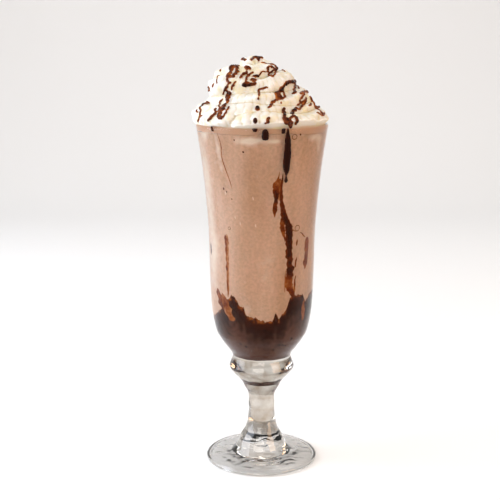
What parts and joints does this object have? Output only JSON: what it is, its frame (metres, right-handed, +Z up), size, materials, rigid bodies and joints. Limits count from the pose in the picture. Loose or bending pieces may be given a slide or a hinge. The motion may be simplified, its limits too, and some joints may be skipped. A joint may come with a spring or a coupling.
{
  "type": "chocolate milkshake",
  "caption": "Chocolate milkshake in a footed glass, with syrup at the bottom and in streaks, under piped whipped cream drizzled with syrup.",
  "frame": {"origin": "middle of the underside of the glass foot", "axes": "+Z up along the glass, -Y to the front, +X to the right seen from the front"},
  "size_m": [0.0826, 0.0847, 0.2533],
  "materials": {
    "clear_glass": "clear pressed glass, smooth and glossy",
    "milkshake": "thick pinkish tan milkshake, satin",
    "chocolate_syrup": "dark glossy chocolate syrup",
    "whipped_cream": "soft warm white whipped cream, satin"
  },
  "bodies": {
    "root": {"glass": "clear_glass", "milkshake": "milkshake", "syrup": "chocolate_syrup", "syrup_streak_right": "chocolate_syrup", "whipped_cream": "whipped_cream", "syrup_drip_1": "chocolate_syrup", "syrup_drip_2": "chocolate_syrup", "syrup_drip_3": "chocolate_syrup", "syrup_drip_4": "chocolate_syrup", "syrup_drip_5": "chocolate_syrup"}
  },
  "joints": []
}
